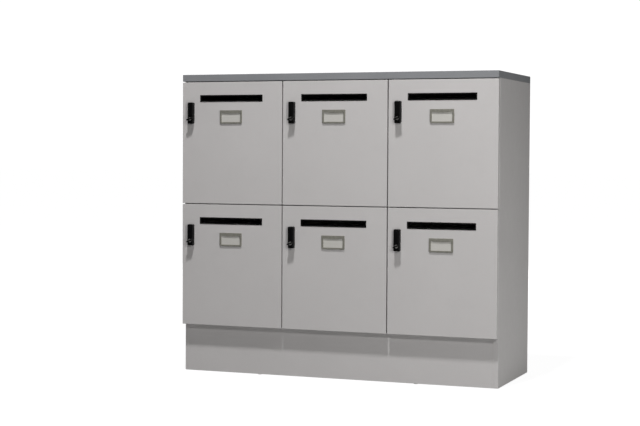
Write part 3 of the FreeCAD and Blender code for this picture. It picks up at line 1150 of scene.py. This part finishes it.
@dataclass
class LockKey(Hardware):
    """A key with a moulded bow that stands askew in the open lock."""

    fitting: ClassVar[Fitting] = Fitting("lock_key", Carrier.LOCK, Palette.KEY_PLASTIC, "key")

    width: float = 0.025
    length: float = 0.0065
    thickness: float = 0.0044
    corner: float = 0.003
    bow_round: float = 0.00035
    panel_rim: float = 0.0012
    panel_depth: float = 0.0004
    ring_hole: float = 0.0011
    ring_hole_inset: float = 0.00234
    ring_hole_sides: int = 24
    neck_width: float = 0.007
    neck_thickness: float = 0.0022
    neck_start: float = 0.00585
    neck_set_in: float = 0.004
    neck_round: float = 0.0003
    turn: float = math.radians(19.0)

    def build(self, cell: str) -> Piece:
        """Models the key of one door.

        Args:
            cell: The mailbox's name.

        Returns:
            The key.
        """
        axis = lock_axis(cell)
        middle = Vector((axis.x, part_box(f"{cell}_key")[0].y, axis.z))
        core_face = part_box(f"{cell}_lock_core")[0].y
        piece = self.bow(middle)
        half = Vector((self.neck_width / 2, 0.0, self.neck_thickness / 2))
        start = middle + Vector((0.0, self.neck_start, 0.0))
        end = Vector((axis.x, core_face + self.neck_set_in, axis.z))
        neck = add_block("neck", start - half, end + half)
        round_off(neck, self.neck_round)
        blend(piece, neck, Blend.ADD)
        smooth(name_piece(piece, self.name_on(cell)))
        turned = Matrix.Rotation(-self.turn, 4, "Y")
        piece.matrix_world = Matrix.Translation(axis) @ turned @ Matrix.Translation(-axis)
        return set_down(piece)

    def bow(self, middle: Vector) -> Piece:
        """Models the bow, with a sunk panel on both sides and a hole for a ring.

        Args:
            middle: The middle of its front.

        Returns:
            The bow.
        """
        half = Vector((self.width / 2, 0.0, self.thickness / 2))
        bow = add_block("bow", middle - half, middle + half + Vector((0.0, self.length, 0.0)))
        soften(bow, runs_along(Direction.Z), self.corner, segments=6)
        sides = [lies_at(Direction.Z, middle.z + side * self.thickness / 2) for side in (-1, 1)]
        with editing(bow, Pick.FACE):
            pick_where(bow, Pick.FACE, lambda face: any(side(face) for side in sides))
            bpy.ops.mesh.inset(thickness=self.panel_rim, depth=-self.panel_depth, use_individual=True)
        start = middle + Vector((0.0, self.ring_hole_inset, -self.thickness))
        hole = add_rod("hole", start, self.thickness * 2, self.ring_hole, Direction.Z, self.ring_hole_sides)
        blend(bow, hole, Blend.CUT)
        round_off(bow, self.bow_round)
        return bow


@dataclass
class DoorBumpers(Hardware):
    """Two soft studs on a door's back, at its free edge."""

    fitting: ClassVar[Fitting] = Fitting("bumpers", Carrier.DOOR, Palette.BUMPER_RUBBER)

    radius: float = 0.004
    height: float = 0.0026
    dome: float = 0.00156
    inset: float = 0.009
    sides: int = 32

    def build(self, cell: str) -> Piece:
        """Models the studs of one door.

        Args:
            cell: The mailbox's name.

        Returns:
            Both studs as one piece.
        """
        low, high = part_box(f"{cell}_door_panel")
        studs = []
        for z in (low.z + self.inset, high.z - self.inset):
            start = Vector((low.x + self.inset, high.y, z))
            stud = add_rod("stud", start, self.height, self.radius, sides=self.sides)
            soften(stud, lies_at(Direction.Y, high.y + self.height), self.dome, segments=4)
            studs.append(stud)
        piece = merge(self.name_on(cell), *studs)
        smooth(piece)
        return piece


@dataclass
class DoorSet:
    """All six doors: each kind of hardware is modelled on the first door and copied to the others."""

    workshop: Workshop
    hardware: tuple[Hardware, ...]

    def build(self) -> None:
        """Models the hardware of the first door, dresses it and sets copies on the other doors."""
        first, *others = [f"{row.value}_{column.value}" for row in Row for column in Column]
        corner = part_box(f"{first}_door_panel")[0]
        patterns = [(kind, kind.build(first)) for kind in self.hardware]
        for kind, pattern in patterns:
            kind.dress(pattern, self.workshop)
            kind.fit(pattern, first)
            for cell in others:
                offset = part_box(f"{cell}_door_panel")[0] - corner
                kind.fit(copied(pattern, kind.name_on(cell), offset), cell)


@dataclass
class Carcass:
    """The solids that stay as they are and only get a finish."""

    workshop: Workshop

    def dress(self) -> None:
        """Coats every solid with the finish that the record names for it."""
        slots = {part["node"]: part["material_slot"] for part in frame["record"]["subparts"]}
        for name, node in frame["nodes"].items():
            self.workshop.coat(node, Palette.for_slot(slots[name]))
            LOG.info("%s coated as %s", name, slots[name])


# Studio

@dataclass(frozen=True)
class Lamp:
    """A soft square light that is aimed at a point."""

    name: str
    place: Place
    aim: Place
    size: float
    power: float
    tint: Colour = (1.0, 0.985, 0.97)

    def build(self) -> None:
        """Adds the light."""
        bpy.ops.object.light_add(type="AREA", location=self.place)
        lamp = bpy.context.object
        lamp.name = self.name
        lamp.data.shape = "SQUARE"
        lamp.data.size = self.size
        lamp.data.energy = self.power
        lamp.data.color = self.tint
        lamp.visible_camera = False
        toward = Vector(self.aim) - Vector(self.place)
        lamp.rotation_euler = toward.to_track_quat("-Z", "Y").to_euler()


@dataclass
class Studio:
    """The pale floor, the lights and the camera."""

    image_width: int = 640
    focal_pixels: float = 1524.93
    sensor: float = 36.0
    camera_place: Place = (1.91903, -5.30884, 0.81366)
    camera_yaw: float = -0.36958
    camera_pitch: float = -0.03927
    camera_roll: float = 0.00519
    camera_reach: float = 200.0
    floor_half: float = 60.0
    floor_roughness: float = 0.9
    floor_seen: float = 0.12
    floor_bounce: float = 0.25
    floor_glow: tuple[float, float] = (0.94, 1.06)
    floor_fade: tuple[float, float] = (0.9, 4.0)
    ambient: float = 0.01
    surround: float = 1.06
    lamps: tuple[Lamp, ...] = (
        Lamp("ceiling_light", (0.22, -1.8, 5.1), (0.05, -0.2, 0.55), 0.3, 217.0, (1.0, 0.985, 0.985)),
        Lamp("front_light", (2.4, -2.8, 1.95), (0.05, -0.2, 0.55), 0.25, 36.0),
        Lamp("low_light", (3.0, -3.4, 0.18), (0.05, -0.2, 0.45), 0.3, 31.0),
        Lamp("side_light", (1.9, 0.0, 0.15), (0.6, 0.0, 0.35), 0.6, 4.9, (1.0, 1.0, 0.98)),
        Lamp("left_light", (-3.4, -0.1, 1.1), (-0.6, 0.0, 0.55), 1.0, 24.0),
        Lamp("back_light", (-1.6, 5.0, 1.6), (0.0, 0.2, 0.55), 2.0, 150.0),
    )

    def build(self) -> None:
        """Adds everything round the cabinet."""
        self.add_floor()
        self.add_surround()
        for lamp in self.lamps:
            lamp.build()
        self.add_camera()
        bpy.context.scene.view_settings.view_transform = "Standard"

    def add_floor(self) -> None:
        """Adds a pale floor that looks white and throws only some of the light back."""
        bpy.ops.object.select_all(action="DESELECT")
        bpy.ops.mesh.primitive_plane_add(size=2 * self.floor_half, location=(0.0, 0.0, 0.0))
        floor = bpy.context.object
        floor.name = "studio_floor"
        bench = NodeBench("studio_floor")
        bench.set("Roughness", self.floor_roughness)
        bench.set("Specular IOR Level", 0.0)
        bench.set("Emission Color", WHITE)
        seen = bench.add("ShaderNodeLightPath").outputs["Is Camera Ray"]
        bench.feed("Base Color", bench.tint(seen, (self.floor_bounce,) * 3, (self.floor_seen,) * 3))
        distance = bench.add("ShaderNodeVectorMath")
        distance.operation = "LENGTH"
        bench.link(bench.place, distance.inputs[0])
        glow = bench.spread(distance.outputs["Value"], *self.floor_glow, *self.floor_fade)
        bench.feed("Emission Strength", bench.times(seen, glow))
        floor.data.materials.append(bench.material)

    def add_surround(self) -> None:
        """Adds a surround that looks white and lights the cabinet only a little."""
        world = bpy.data.worlds.new("studio_surround")
        bpy.context.scene.world = world
        world.use_nodes = True
        tree = world.node_tree
        tree.nodes.clear()
        output = tree.nodes.new("ShaderNodeOutputWorld")
        mix = tree.nodes.new("ShaderNodeMixShader")
        path = tree.nodes.new("ShaderNodeLightPath")
        tree.links.new(path.outputs["Is Camera Ray"], mix.inputs[0])
        for place, strength in enumerate((self.ambient, self.surround), start=1):
            white = tree.nodes.new("ShaderNodeBackground")
            white.inputs["Color"].default_value = WHITE
            white.inputs["Strength"].default_value = strength
            tree.links.new(white.outputs[0], mix.inputs[place])
        tree.links.new(mix.outputs[0], output.inputs["Surface"])

    def add_camera(self) -> None:
        """Adds the camera at the photograph's place and angle."""
        data = bpy.data.cameras.new("studio_camera")
        camera = bpy.data.objects.new("studio_camera", data)
        bpy.context.scene.collection.objects.link(camera)
        data.sensor_width = self.sensor
        data.lens = self.focal_pixels * self.sensor / self.image_width
        data.clip_end = self.camera_reach
        camera.location = self.camera_place
        yaw, pitch = self.camera_yaw, self.camera_pitch
        look = Vector((
            math.sin(yaw) * math.cos(pitch),
            math.cos(yaw) * math.cos(pitch),
            math.sin(pitch),
        ))
        upright = look.to_track_quat("-Z", "Y")
        roll = Matrix.Rotation(self.camera_roll, 4, "Z").to_quaternion()
        camera.rotation_mode = "QUATERNION"
        camera.rotation_quaternion = upright @ roll
        bpy.context.scene.camera = camera


def main() -> None:
    """Builds the cabinet's looks and the studio."""
    logging.basicConfig(level=logging.INFO, format="%(name)s: %(message)s")
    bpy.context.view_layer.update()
    workshop = Workshop()
    Carcass(workshop).dress()
    hardware = (MailSlot(), CardFrame(), BlankCard(), LockBar(), LockKey(), DoorBumpers())
    DoorSet(workshop, hardware).build()
    Studio().build()


if __name__ == "__main__":
    main()
